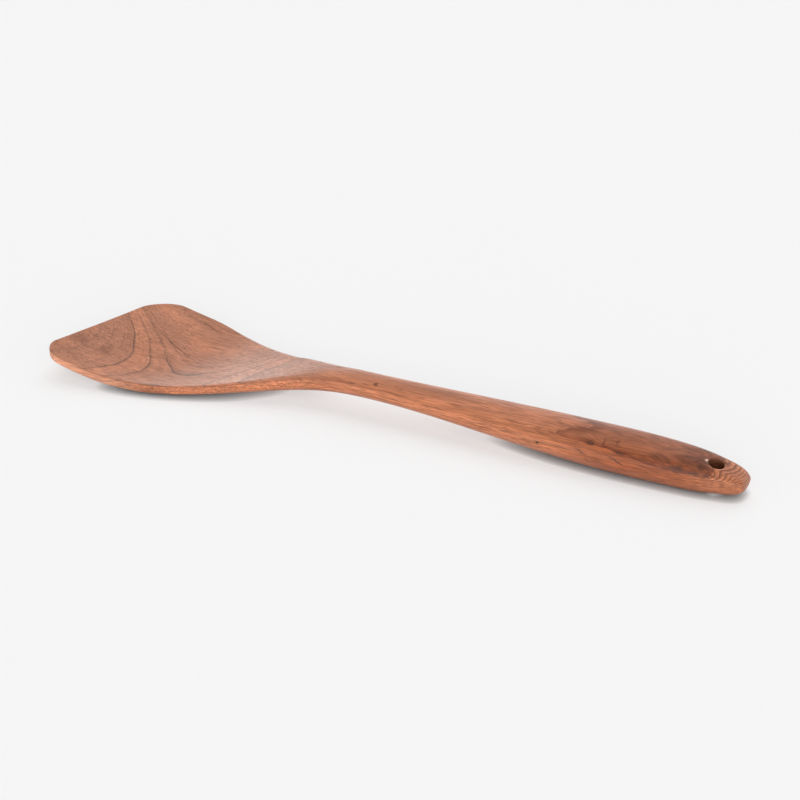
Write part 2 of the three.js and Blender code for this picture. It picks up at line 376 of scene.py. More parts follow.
    def stations(self):
        """Places along the axis, close together where the outline turns."""
        sizes = self.sizes
        corner = max(sizes.leading_corner, sizes.trailing_corner)
        front = sizes.front_ease * (1 - np.cos(np.linspace(0, math.pi / 2, FRONT_STEPS + 1)))
        turn = corner * (1 - np.cos(np.linspace(0, math.pi / 2, CORNER_STEPS + 1)))
        turn = turn[turn > sizes.front_ease * CORNER_START]
        steps = round((self.grip_widest_at - corner) / LENGTH_STEP)
        straight = np.linspace(corner, self.grip_widest_at, steps + 1)
        butt = np.sin(np.linspace(0, math.pi / 2, BUTT_STEPS + 1)) * sizes.grip_widest_from_end
        return np.concatenate([front, turn[:-1], straight[:-1], self.grip_widest_at + butt])

    def columns(self, at):
        """Distances off the axis of the points across each section, from leading to trailing."""
        wide, _ = self.edge(at)
        leading, trailing = self.leading(at) - wide, self.trailing(at) - wide
        turn = np.sin(np.linspace(0, math.pi / 2, EDGE_STEPS + 1))
        share = np.linspace(0, 1, RUN_STEPS + 1)
        near = -(leading[:, None] + wide[:, None] * turn[::-1])
        run = -leading[:, None] + (leading + trailing)[:, None] * share
        far = trailing[:, None] + wide[:, None] * turn
        return np.concatenate([near[:, :-1], run, far[:, 1:]], axis=1)


class Skin:
    """Vertices and faces of the closed surface, gathered piece by piece."""

    def __init__(self):
        self.vertices = []
        self.faces = []

    def add_points(self, points):
        """Add points of any array shape, and return their numbers in that shape."""
        start = len(self.vertices)
        shape = points.shape[:-1]
        self.vertices.extend(points.reshape(-1, 3).tolist())
        return np.arange(start, start + math.prod(shape)).reshape(shape)

    def add_strip(self, first, second, closed=False):
        """Quads between two rows of equal length. The first runs anticlockwise, seen from outside."""
        count = len(first)
        for i in range(count if closed else count - 1):
            j = (i + 1) % count
            self.faces.append((int(first[i]), int(first[j]), int(second[j]), int(second[i])))


def block_rim(grid, rows, columns):
    """Numbers round the edge of a block of a grid, anticlockwise from its first corner."""
    (top, bottom), (left, right) = rows, columns
    along = [grid[i, left] for i in range(top, bottom)]
    across = [grid[bottom, j] for j in range(left, right)]
    back = [grid[i, right] for i in range(bottom, top, -1)]
    home = [grid[top, j] for j in range(right, left, -1)]
    return np.array(along + across + back + home)


def add_grid(skin, grid, hole, face_up):
    """Quads over a grid of points, leaving out the block round the hole."""
    (top, bottom), (left, right) = hole
    rows, columns = grid.shape
    for i in range(rows - 1):
        for j in range(columns - 1):
            if top <= i < bottom and left <= j < right:
                continue
            quad = [grid[i, j], grid[i + 1, j], grid[i + 1, j + 1], grid[i, j + 1]]
            skin.faces.append(tuple(int(k) for k in (quad if face_up else quad[::-1])))


def add_hole(skin, form, face_rim, back_rim, at, y):
    """The eased hole: loops from the block's rim on the face, down the bore, to its rim on the back."""
    sizes = form.sizes
    angle = np.arctan2(y - sizes.hole_off_axis, at - form.hole_at)
    bore = sizes.hole_diameter / 2
    rim = bore + sizes.rim_ease

    def circle(radius):
        return form.hole_at + radius * np.cos(angle), sizes.hole_off_axis + radius * np.sin(angle)

    rim_at, rim_y = circle(rim)
    face_loops, back_loops = [], []
    for share in np.linspace(0, 1, PATCH_RINGS + 1)[1:]:
        loop = form.points(at + (rim_at - at) * share, y + (rim_y - y) * share)
        face_loops.append(loop[0])
        back_loops.append(loop[1])
    face_edge, back_edge = face_loops[-1], back_loops[-1]
    for turn in np.linspace(0, math.pi / 2, RIM_RINGS + 1)[1:]:
        ring_at, ring_y = circle(rim - sizes.rim_ease * math.sin(turn))
        shift = np.stack([ring_at - rim_at, ring_y - rim_y, np.zeros_like(at)], -1)
        drop = np.array([0, 0, sizes.rim_ease * (1 - math.cos(turn))])
        face_loops.append(face_edge + shift - drop)
        back_loops.append(back_edge + shift + drop)
    shares = np.linspace(0, 1, BORE_RINGS + 2)[1:-1]
    wall = [face_loops[-1] + (back_loops[-1] - face_loops[-1]) * share for share in shares]
    loops = [face_rim]
    loops += [skin.add_points(loop) for loop in face_loops + wall + back_loops[::-1]]
    loops.append(back_rim)
    for first, second in zip(loops[:-1], loops[1:]):
        skin.add_strip(first, second, closed=True)


def spatula_mesh(sizes):
    """The carved piece as one closed mesh of quads."""
    form = Form(sizes)
    at = form.stations()
    y = form.columns(at)
    every_at = np.broadcast_to(at[:, None], y.shape)
    face_points, back_points = form.points(every_at, y)
    skin = Skin()
    face, back = skin.add_points(face_points), skin.add_points(back_points)

    # The block of the grid that the hole's patch takes the place of
    reach = sizes.hole_diameter / 2 + sizes.rim_ease + PATCH_MARGIN
    rows = np.flatnonzero(np.abs(at - form.hole_at) < reach)
    middle = rows[len(rows) // 2]
    columns = np.flatnonzero(np.abs(y[middle] - sizes.hole_off_axis) < reach)
    block = (rows[0], rows[-1]), (columns[0], columns[-1])
    add_grid(skin, face, block, face_up=True)
    add_grid(skin, back, block, face_up=False)
    rim_at, rim_y = block_rim(every_at, *block), block_rim(y, *block)
    add_hole(skin, form, block_rim(face, *block), block_rim(back, *block), rim_at, rim_y)

    # The upright sides, the front edge and the flat at the butt
    skin.add_strip(back[:, 0], face[:, 0])
    skin.add_strip(face[:, -1], back[:, -1])
    skin.add_strip(face[0], back[0])
    skin.add_strip(back[-1], face[-1])
    mesh = bpy.data.meshes.new("carved_spatula")
    mesh.from_pydata(skin.vertices, [], skin.faces)
    mesh.shade_smooth()
    mesh.validate()
    return mesh


def empty_tree(owner):
    """The node tree of a new material or world, with nothing in it."""
    owner.use_nodes = True
    owner.node_tree.nodes.clear()
    return owner.node_tree


def add_node(tree, kind, inputs=None, output=0, **settings):
    """Add a node with its settings, link or set its inputs by name or number, and return an output if it
    has any."""
    node = tree.nodes.new("ShaderNode" + kind)
    for name, value in settings.items():
        setattr(node, name, value)
    for name, value in (inputs or {}).items():
        if isinstance(value, bpy.types.NodeSocket):
            tree.links.new(value, node.inputs[name])
        else:
            node.inputs[name].default_value = value
    return node.outputs[output] if node.outputs else None


# The board's growth rings lie round a pith line above the piece, in millimetres: its height over the
# middle of its bow, where that middle is, how fast it bows down towards both ends, and its distance off
# the axis at the middle of the piece with its drift along the board
PITH_HEIGHT = 75.6
PITH_MIDDLE = -21.5
PITH_BOW = 2.06e-4
PITH_OFFSET = -7.3
PITH_DRIFT = 0.07

# How far the rings wander from true curves, and the size of the wander along, across and through the
# board, in millimetres
RING_WANDER = ((0.5, (60, 18, 18)), (0.22, (8, 3.5, 3.5)))

# Rings swell round hidden knots, in the board and beside it: place and half sizes of the swelling, and its
# height, in millimetres
SWELLINGS = (
    ((104.0, -9.5, 15.0), (13, 7, 5), 1.5),
    ((73.3, -12.3, 10.8), (8, 5, 3.5), 0.6),
    ((-8.0, -4.9, 16.9), (10, 6, 5), 0.8),
    ((-112.5, -32.0, 2.9), (12, 6, 4), 0.7),
    ((150.0, -20.0, 8.0), (45, 16, 40), 16.0),
)

# How far a surface faces the pith where it still counts as cut across the rings, and where it counts as
# cut along them
CUT_ACROSS, CUT_ALONG = 0.3, 0.95

# The dark late wood of a ring: the share of the year where it starts and where it is darkest, how its
# strength varies from year to year, and how clear it is on the sides
LATE_STARTS, LATE_DARKEST = 0.25, 0.9
RING_VIGOUR = ((0, 0.5), (1, 1.0))
LINES_ON_SIDES = 0.6

# Ring lines come and go along the board: the size of the stretches in millimetres, and how clear the late
# wood and the rings that stand out stay in them
LINE_STRETCH = (26, 9, 7)
LATE_WANING = ((0.34, 0.15), (0.55, 1.0))
MARK_WANING = ((0.38, 0.6), (0.58, 1.0))

# Rings that stand out, in millimetres: depth, how far the dark fades in before it, and darkness. The crisp
# line reaches this far to either side of the depth, and starts at this share of the darkness.
RING_MARKS = (
    (4.2, 0.35, 0.4),
    (5.6, 0.35, 0.85),
    (7.4, 0.35, 0.9),
    (9.55, 0.4, 1.0),
    (11.2, 0.4, 0.3),
    (13.1, 0.4, 0.35),
    (15.2, 0.4, 0.4),
)
RING_EDGE = 0.11
RING_EDGE_SHARE = 0.3

# How grey the oil turns the layers between the rings, by depth in millimetres
GREY_LAYERS = (
    (-4.0, 0.5), (0.0, 0.2), (2.5, 0.55), (4.5, 0.45), (6.5, 0.35), (7.6, 0.2), (8.6, 0.14), (9.3, 0.16),
    (9.7, 0.6), (10.4, 0.58), (11.6, 0.48), (13.0, 0.55), (14.7, 0.68), (16.0, 0.45),
)

# The depths at which the dark heart in the grip starts and stops, by place along the board, and its
# darkness by how far a point lies inside it, all in millimetres
HEART_EDGE = (
    (79, 17.6), (82, 17.0), (87, 16.3), (97, 17.5), (104, 18.0), (112, 16.8), (118, 15.8), (127, 17.2),
    (134, 18.8), (141, 19.9), (151, 19.2), (157, 19.6),
)
HEART_TOP = ((80, 16.8), (82, 18.4), (86, 19.6), (93, 20.4), (101, 22.5))
HEART_FADE = ((-0.12, 0.0), (0.12, 1.0), (0.8, 0.8), (1.8, 0.15), (3.0, 0.02))

# How far the heart's edge is ragged, and the size of the rags and of the blotches inside it, in
# millimetres, and how dark the blotches leave it
HEART_RAGGED = 0.9
HEART_RAGS = (6, 2, 2)
HEART_BLOTCH = (5, 2, 2)
HEART_BLOTCHES = ((0.35, 0.65), (0.65, 1.0))

# Tones that change along the board, as pairs of a place in millimetres and a tone
HEART_ALONG = ((76, 0.45), (104, 1.0))  # darkness of the heart
TAN_ALONG = ((68, 0.0), (95, 0.6), (112, 0.9), (138, 0.75), (154, 0.1))  # tan of the grip
FACE_AND_SHEEN_ALONG = ((-45, 1.0), (-5, 0.2))  # paleness of the face, partly painted sheen
GREY_ALONG = ((-60, 1.0), (15, 0.3))  # greyness of the layers
SHOULDER_SHADE_ALONG = ((-30, 1.8), (5, 0.3), (60, 0.2))  # painted shade on the shoulders, by place along the board
FACE_LINES_ALONG = ((55, 0.14), (90, 0.5))  # clearness of the late wood on the face
END_GRAIN = ((116, 0.0), (142, 1.0))  # clearness of the late wood at the butt
EDGE_LIGHT_ALONG = ((-128, 0.2), (-112, 0.0))  # painted light on the front of the blade's side
DULL_ALONG = ((-50, 0.0), (10, 0.12))  # how much duller than the blade the oil is

# Tones that go from surfaces cut across the rings, at 0, to surfaces cut along them, at 1
TAN_BY_CUT = ((0, 1.0), (1, 0.6))
PORES_BY_CUT = ((0, 0.55), (1, 0.42))

# The open pores: their size in millimetres, the values of their noise between which they open, and how
# much duller than the oil they are
PORE_SIZE = (7, 0.5, 0.45)
PORE_SHUT, PORE_OPEN = 0.56, 0.66
PORE_DULLNESS = 0.2

# Fibres in streaks, from broad to fine: size in millimetres, detail, and how far they vary the tone of
# surfaces cut across the rings and along them. Their noise goes from dark to light between these values.
FIBRES = (
    ((30, 8, 6), 2, 0.13, 0.13),
    ((22, 1.0, 0.9), 3, 0.24, 0.16),
    ((8, 0.45, 0.45), 2, 0.28, 0.15),
)
FIBRE_DARK, FIBRE_LIGHT = 0.3, 0.7

# How deep and how strong the relief of the fibres and pores is
RELIEF_DEPTH = 0.06 * MM
RELIEF_STRENGTH = 0.3

# Painted shade and highlight at the hole, in millimetres: darkness of the painted shade by the distance
# outside the bore, where the painted highlight on the rim lies from the bore's edge, and its paleness by
# the distance from there
BORE_SHADE = ((0.02, 0.9), (0.35, 0.0))
RIM_HIGHLIGHT_AT = (-0.5, -0.4)
RIM_HIGHLIGHT_PALE = ((0.3, 0.9), (1.3, 0.0))

# Small dark marks: place and half sizes in millimetres, turns about the cross axis and the upright in
# degrees, and darkness. They fade between these shares of their size, and their edges are ragged at this
# grain, in millimetres.
MARK_FULL, MARK_GONE = 0.3, 1.1
MARK_GRAIN = 1.5
MARKS = {
    "pin_knot": ((73.3, -12.3, 10.8), (1.1, 1.5, 0.7), (12, 0), 1.0),
    "neck_spot": ((-8.0, -4.9, 16.9), (1.6, 1.2, 1.2), (0, 0), 0.7),
    "second_neck_spot": ((1.7, -3.4, 17.4), (1.1, 0.9, 1.0), (0, 0), 0.4),
    "neck_shade": ((20.0, -1.0, 17.6), (30.0, 5.0, 2.2), (0, 0), 0.26),
    "shank_streak": ((60.4, -8.0, 15.9), (7.0, 0.7, 1.0), (0, -6), 0.35),
    "shank_swirl": ((72.5, -8.3, 15.7), (4.0, 0.8, 1.0), (0, 10), 0.35),
    "heart_nose": ((81.2, -8.0, 16.0), (0.8, 2.0, 2.0), (0, -14), 0.35),
    "heart_brow": ((86.0, -3.4, 17.6), (6.0, 0.7, 1.5), (0, 14), 0.25),
    "heart_point": ((97.0, -9.7, 14.9), (2.2, 1.6, 1.2), (10, 0), 0.75),
    "first_hook": ((102.6, -8.0, 15.8), (0.9, 3.0, 2.2), (0, -8), 0.5),
    "first_hook_arm": ((106.0, -5.0, 17.1), (4.0, 0.7, 1.5), (0, 16), 0.4),
    "second_hook": ((108.4, -7.0, 16.4), (0.9, 2.8, 2.0), (0, -10), 0.4),
    "second_hook_arm": ((113.5, -4.2, 17.2), (6.0, 0.7, 1.5), (0, 8), 0.3),
    "heart_dip": ((110.7, -10.8, 13.7), (3.0, 1.4, 0.9), (8, 0), 0.6),
    "heart_shade": ((128.0, -8.6, 15.0), (6.0, 3.2, 3.0), (0, 0), 0.4),
    "heart_foot": ((136.3, -10.2, 12.4), (4.2, 1.8, 1.3), (6, 0), 0.7),
    "heart_heel": ((143.4, -9.9, 11.7), (3.2, 1.6, 0.9), (6, 0), 0.5),
    "upper_streak": ((93.6, -12.3, 11.3), (4.6, 1.5, 0.45), (22, 0), 0.6),
    "middle_streak": ((96.5, -12.2, 7.9), (3.0, 2.0, 0.45), (52, 0), 0.6),
    "long_streak": ((110.0, -12.2, 10.4), (5.2, 1.5, 0.5), (21, 0), 0.9),
    "rim_swirl": ((146.0, -6.9, 13.7), (2.4, 1.8, 1.8), (0, 0), 0.65),
    "crown_nick": ((138.5, -0.2, 15.5), (1.5, 0.9, 1.0), (0, 0), 0.5),
    "top_nick": ((122.7, 3.2, 16.8), (1.3, 1.0, 1.0), (0, 0), 0.8),
    "blade_blotch": ((-143.5, -15.0, 9.4), (4.5, 6.0, 6.0), (0, 0), 0.3),
    "tip_blotch": ((-157.0, -16.0, 12.8), (6.0, 5.0, 6.0), (0, 0), 0.3),
    "blade_spot": ((-78.1, 7.0, 7.0), (2.6, 0.9, 1.2), (0, -12), 0.35),
    "far_edge_streak": ((-111.0, 29.3, 6.8), (9.0, 1.0, 3.0), (0, -13), 0.35),
    "blade_line": ((-119.0, 7.5, 6.0), (25.0, 0.45, 9.0), (0, -24), 0.6),
    # edge_band darkens a long band low on the middle of the blade's near side, where it rests by the floor
    "edge_band": ((-100.0, -35.0, 3.4), (30.0, 8.0, 4.0), (0, 0), 0.5),
    "edge_swirl": ((-112.5, -32.0, 2.9), (5.0, 1.0, 0.5), (8, 0), 0.6),
}


def streaks(tree, place, size, detail):
    """Noise stretched to a grain of this size along, across and through the board, in millimetres."""
    scale = tuple(1 / side for side in size)
    scaled = add_node(tree, "VectorMath", {0: place, 1: scale}, operation="MULTIPLY")
    return add_node(tree, "TexNoise", {"Vector": scaled, "Scale": 1, "Detail": detail})


def ring_depth(tree, place):
    """Depth of a point among the growth rings, and how far the surface is cut along them."""
    x, y, z = add_node(tree, "SeparateXYZ", {0: place}).node.outputs
    from_middle = add_node(tree, "Math", {0: x, 1: PITH_MIDDLE}, operation="SUBTRACT")
    squared = add_node(tree, "Math", {0: from_middle, 1: from_middle}, operation="MULTIPLY")
    raised = add_node(tree, "Math", {0: squared, 1: PITH_BOW, 2: z}, operation="MULTIPLY_ADD")
    up = add_node(tree, "Math", {0: raised, 1: PITH_HEIGHT}, operation="SUBTRACT")
    pith = add_node(tree, "Math", {0: x, 1: PITH_DRIFT, 2: PITH_OFFSET}, operation="MULTIPLY_ADD")
    across = add_node(tree, "Math", {0: y, 1: pith}, operation="SUBTRACT")
    radial = add_node(tree, "CombineXYZ", {1: across, 2: up})
    radius = add_node(tree, "VectorMath", {0: radial}, "Value", operation="LENGTH")
    depth = add_node(tree, "Math", {0: PITH_HEIGHT, 1: radius}, operation="SUBTRACT")
    for reach, size in RING_WANDER:
        noise = streaks(tree, place, size, detail=2)
        shift = add_node(tree, "MapRange", {"Value": noise, "To Min": -reach, "To Max": reach})
        depth = add_node(tree, "Math", {0: depth, 1: shift}, operation="ADD")

    for centre, size, height in SWELLINGS:
        inside = add_node(
            tree, "Mapping", {"Vector": place, "Location": centre, "Scale": size}, vector_type="TEXTURE"
        )
        distance = add_node(tree, "VectorMath", {0: inside}, "Value", operation="LENGTH")
        swell = add_node(
            tree, "MapRange", {"Value": distance, "To Min": height, "To Max": 0.0},
            interpolation_type="SMOOTHSTEP",
        )
        depth = add_node(tree, "Math", {0: depth, 1: swell}, operation="ADD")

    outward = add_node(tree, "VectorMath", {0: radial}, operation="NORMALIZE")
    normal = add_node(tree, "NewGeometry", output="Normal")
    along = add_node(tree, "VectorMath", {0: outward, 1: normal}, "Value", operation="DOT_PRODUCT")
    along = add_node(tree, "Math", {0: along}, operation="ABSOLUTE")
    cut = add_node(
        tree, "MapRange", {"Value": along, "From Min": CUT_ACROSS, "From Max": CUT_ALONG},
        interpolation_type="SMOOTHSTEP",
    )
    return depth, cut


def tone_at(tree, value, tones):
    """The tone that belongs to a value, from pairs of value and tone in rising order."""
    (low, first), (high, last) = tones[0], tones[-1]
    share = add_node(tree, "MapRange", {"Value": value, "From Min": low, "From Max": high})
    result = add_node(tree, "ValToRGB", {0: share})
    stops = result.node.color_ramp.elements
    stops[0].color = (first, first, first, 1)
    stops[1].color = (last, last, last, 1)
    for at, tone in tones[1:-1]:
        stops.new((at - low) / (high - low)).color = (tone, tone, tone, 1)
    return result


def late_wood(tree, place, depth, cut, spacing):
    """Darkness of the thin late-wood line of every ring: clear where a side cuts across the rings, faint
    where the face is cut along them, and clearest in the end grain of the butt."""
    turns = add_node(tree, "Math", {0: depth, 1: MM / spacing}, operation="MULTIPLY")
    year = add_node(tree, "Math", {0: turns}, operation="FLOOR")
    season = add_node(tree, "Math", {0: turns}, operation="FRACT")
    vigour = add_node(tree, "TexWhiteNoise", {"W": year}, noise_dimensions="1D")
    vigour = tone_at(tree, vigour, RING_VIGOUR)
    late = add_node(
        tree, "MapRange", {"Value": season, "From Min": LATE_STARTS, "From Max": LATE_DARKEST},
        interpolation_type="SMOOTHSTEP",
    )
    late = add_node(tree, "Math", {0: late, 1: vigour}, operation="MULTIPLY")

    # The lines come and go along the board, apart from the end grain
    x = add_node(tree, "SeparateXYZ", {0: place})
    on_face = tone_at(tree, x, FACE_LINES_ALONG)
    clear = add_node(tree, "Mix", {"Factor": cut, "A": LINES_ON_SIDES, "B": on_face}, "Result")
    waning = tone_at(tree, streaks(tree, place, LINE_STRETCH, detail=2), LATE_WANING)
    clear = add_node(tree, "Math", {0: clear, 1: waning}, operation="MULTIPLY")
    clear = add_node(tree, "Math", {0: clear, 1: tone_at(tree, x, END_GRAIN)}, operation="MAXIMUM")
    return add_node(tree, "Math", {0: late, 1: clear}, operation="MULTIPLY")


def ring_lines(tree, place, depth):
    """Darkness of the few rings that stand out: each darkens slowly, ends in a crisp line and wanes in
    places."""
    tones = []
    for at, fade, darkness in RING_MARKS:
        tones += (at - fade, 0.0), (at - RING_EDGE, RING_EDGE_SHARE * darkness)
        tones += (at, darkness), (at + RING_EDGE, 0.0)
    lines = tone_at(tree, depth, tones)
    waning = tone_at(tree, streaks(tree, place, LINE_STRETCH, detail=2), MARK_WANING)
    return add_node(tree, "Math", {0: lines, 1: waning}, operation="MULTIPLY")


def dark_heart(tree, place, depth):
    """Darkness of the heart in the grip: deepest along its ragged edge and fading inwards."""
    x = add_node(tree, "SeparateXYZ", {0: place})
    edge, top = tone_at(tree, x, HEART_EDGE), tone_at(tree, x, HEART_TOP)
    past_edge = add_node(tree, "Math", {0: depth, 1: edge}, operation="SUBTRACT")
    to_top = add_node(tree, "Math", {0: top, 1: depth}, operation="SUBTRACT")
    inside = add_node(tree, "Math", {0: past_edge, 1: to_top}, operation="MINIMUM")
    rags = streaks(tree, place, HEART_RAGS, detail=5)
    shift = add_node(tree, "MapRange", {"Value": rags, "To Min": -HEART_RAGGED, "To Max": HEART_RAGGED})
    inside = add_node(tree, "Math", {0: inside, 1: shift}, operation="ADD")
    heart = tone_at(tree, inside, HEART_FADE)
    blotches = tone_at(tree, streaks(tree, place, HEART_BLOTCH, detail=3), HEART_BLOTCHES)
    for tone in (blotches, tone_at(tree, x, HEART_ALONG)):
        heart = add_node(tree, "Math", {0: heart, 1: tone}, operation="MULTIPLY")
    return heart


def small_marks(tree, place):
    """Darkness of the knots, spots and streaks, and of a long band low on the blade's near side, with
    ragged edges.
    """
    scaled = add_node(tree, "VectorMath", {0: place, "Scale": 1 / MARK_GRAIN}, operation="SCALE")
    noise = add_node(tree, "TexNoise", {"Vector": scaled, "Scale": 1, "Detail": 2}, "Color")
    shift = add_node(tree, "VectorMath", {0: noise, 1: (0.5, 0.5, 0.5)}, operation="SUBTRACT")
    grain = (MARK_GRAIN, MARK_GRAIN, MARK_GRAIN)
    ragged = add_node(tree, "VectorMath", {0: shift, 1: grain, 2: place}, operation="MULTIPLY_ADD")
    marks = 0.0
    for centre, size, (pitch, yaw), darkness in MARKS.values():
        turn = (0, math.radians(pitch), math.radians(yaw))
        inside = add_node(
            tree, "Mapping", {"Vector": ragged, "Location": centre, "Rotation": turn, "Scale": size},
            vector_type="TEXTURE",
        )
        distance = add_node(tree, "VectorMath", {0: inside}, "Value", operation="LENGTH")
        mark = add_node(
            tree, "MapRange",
            {
                "Value": distance, "From Min": MARK_FULL, "From Max": MARK_GONE,
                "To Min": darkness, "To Max": 0.0,
            },
            interpolation_type="SMOOTHSTEP",
        )
        marks = add_node(tree, "Math", {0: marks, 1: mark}, operation="MAXIMUM")
    return marks


def hole_shade_and_highlight(tree, place, sizes):
    """How dark the painted shade in the bore is, and how pale the painted highlight on one side of the rim
    is.
    """
    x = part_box(CAD_NODE)[1].x - sizes.hole_from_end
    centre = (x / MM, sizes.hole_off_axis / MM, 0)
    offset = add_node(tree, "VectorMath", {0: place, 1: centre}, operation="SUBTRACT")
    flat = add_node(tree, "VectorMath", {0: offset, 1: (1, 1, 0)}, operation="MULTIPLY")
    distance = add_node(tree, "VectorMath", {0: flat}, "Value", operation="LENGTH")
    radius = sizes.hole_diameter / 2 / MM
    bore = tone_at(tree, distance, [(radius + outside, tone) for outside, tone in BORE_SHADE])
    patch = (RIM_HIGHLIGHT_AT[0] - radius, RIM_HIGHLIGHT_AT[1], 0)
    distance = add_node(tree, "VectorMath", {0: flat, 1: patch}, "Value", operation="DISTANCE")
    return bore, tone_at(tree, distance, RIM_HIGHLIGHT_PALE)


def oiled_teak(finish, sizes):
    """Teak, carved, sanded and oiled: a warm brown wood with thin dark late-wood lines and open pores. The
    oil fills the pores dark and leaves a satin surface that reflects pale surroundings at a low angle."""
    material = bpy.data.materials.new("oiled_teak_sanded")
    tree = empty_tree(material)
    place = add_node(tree, "TexCoord", output="Object")
    place = add_node(tree, "VectorMath", {0: place, "Scale": 1 / MM}, operation="SCALE")
    x = add_node(tree, "SeparateXYZ", {0: place})
    depth, cut = ring_depth(tree, place)
    across = add_node(tree, "Math", {0: 1.0, 1: cut}, operation="SUBTRACT")
    between = add_node(tree, "Math", {0: cut, 1: across}, operation="MULTIPLY")
    layers = add_node(tree, "Math", {0: tone_at(tree, depth, GREY_LAYERS), 1: cut}, operation="MULTIPLY")

    # Open pores in lines along the fibres, drawn about three times as coarse as teak's so that they show
    pore = streaks(tree, place, PORE_SIZE, detail=1)
    pore = add_node(
        tree, "MapRange", {"Value": pore, "From Min": PORE_SHUT, "From Max": PORE_OPEN},
        interpolation_type="SMOOTHSTEP",
    )

    # The layers of the board differ in tone, and show where the face is cut along them; the face's paler
    # tone is partly a painted sheen. The rounded shoulders between side and face get a darker tone, which
    # is painted shade. The hand tans the grip, and its sides more than its crown. The front of the blade's
    # side is painted paler, as painted light.
    face, shoulder_shade, grey, tan, dark_pore, edge_light = [
        add_node(tree, "Math", {0: share, 1: tone}, operation="MULTIPLY")
        for share, tone in (
            (cut, tone_at(tree, x, FACE_AND_SHEEN_ALONG)),
            (between, tone_at(tree, x, SHOULDER_SHADE_ALONG)),
            (layers, tone_at(tree, x, GREY_ALONG)),
            (tone_at(tree, cut, TAN_BY_CUT), tone_at(tree, x, TAN_ALONG)),
            (pore, tone_at(tree, cut, PORES_BY_CUT)),
            (across, tone_at(tree, x, EDGE_LIGHT_ALONG)),
        )
    ]
    bore, rim_highlight = hole_shade_and_highlight(tree, place, sizes)
    tints = (
        # The face's paler tone is partly painted sheen
        (face, finish.face_and_sheen_colour),
        # Painted shade on the shoulders
        (shoulder_shade, finish.shoulder_shade_colour),
        (grey, finish.grey_colour),
        (tan, finish.tan_colour),
        (dark_heart(tree, place, depth), finish.heart_colour),
        (late_wood(tree, place, depth, cut, finish.ring_spacing), finish.late_colour),
        (ring_lines(tree, place, depth), finish.line_colour),
        (dark_pore, finish.pore_colour),
        (small_marks(tree, place), finish.mark_colour),
        # Painted light on the front of the blade's side
        (edge_light, finish.painted_highlight_colour),
        # Painted highlight on the hole's rim, and painted shade in the bore
        (rim_highlight, finish.painted_highlight_colour),
        (bore, finish.bore_shade_colour),
    )
    colour = (*finish.side_colour, 1)
    for share, tint in tints:
        colour = add_node(
            tree, "Mix", {"Factor": share, "A": colour, "B": (*tint, 1)}, "Result", data_type="RGBA"
        )

    # Fibres run along the board, in streaks that show most where they are cut across
    for size, detail, on_side, on_face in FIBRES:
        fibre = streaks(tree, place, size, detail)
        spread = tone_at(tree, cut, ((0, on_side), (1, on_face)))
        tone = add_node(
            tree, "MapRange",
            {
                "Value": fibre, "From Min": FIBRE_DARK, "From Max": FIBRE_LIGHT,
                "To Min": -1.0, "To Max": 1.0,
            },
        )
        tone = add_node(tree, "Math", {0: tone, 1: spread, 2: 1.0}, operation="MULTIPLY_ADD")
        colour = add_node(tree, "VectorMath", {0: colour, "Scale": tone}, operation="SCALE")

    # Use polishes the blade more than the handle, and the pores stay dull
    dull = tone_at(tree, x, DULL_ALONG)
    dull = add_node(tree, "Math", {0: dull, 1: finish.roughness}, operation="ADD")
    roughness = add_node(tree, "Math", {0: pore, 1: PORE_DULLNESS, 2: dull}, operation="MULTIPLY_ADD")

    # The relief is that of the last and finest fibres, with the pores cut into it
    relief = add_node(tree, "Math", {0: fibre, 1: pore}, operation="SUBTRACT")
    bump = add_node(
        tree, "Bump", {"Strength": RELIEF_STRENGTH, "Distance": RELIEF_DEPTH, "Height": relief}
    )
    shader = add_node(
        tree, "BsdfPrincipled",
        {"Base Color": colour, "Roughness": roughness, "Normal": bump, "IOR": finish.ior},
    )
    add_node(tree, "OutputMaterial", {"Surface": shader})
    return material


class SPATULA_OT_carve(bpy.types.Operator):
    """Carve the fine surface of the spatula over its CAD solid and finish it in oiled teak"""

    bl_idname = "spatula.carve"
    bl_label = "Carve Spatula"

    def execute(self, context):
        scene = context.scene
        sizes = scene.spatula_sizes
        piece = bpy.data.objects.new("carved_spatula", spatula_mesh(sizes))
        scene.collection.objects.link(piece)
        piece.data.materials.append(oiled_teak(scene.spatula_finish, sizes))
        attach(piece, BODY)
        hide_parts(CAD_NODE)
        return {"FINISHED"}


FLOOR_SIZE = 30.0

# Painted contact shadow on the floor: how near the object its colour is darkened, how many rays look for
# the object there, and the share of the floor's colour that is left
CONTACT_REACH = 4.2 * MM
CONTACT_SAMPLES = 2
CONTACT_SHADE_LEFT = 0.38

# Towards the key lamp from the object, and how broad the lamps look from there
KEY_DIRECTION = (-0.15, 0.6, 1.0)
KEY_ANGLE = math.radians(70)
FILL_ANGLE = math.radians(60)

# How high the reflected white walls and the lit screens reach, and where the dim ceiling starts past each
# of them, as angles above the floor
WALL_EDGES = math.radians(12), math.radians(31)
SCREEN_EDGES = math.radians(14), math.radians(30)

# Where the weaker screen stops and the one behind the camera starts, by how far a direction points there
BACK_STOPS, FRONT_STARTS = -0.2, 0.3

# How far the camera sees
CAMERA_REACH = 10


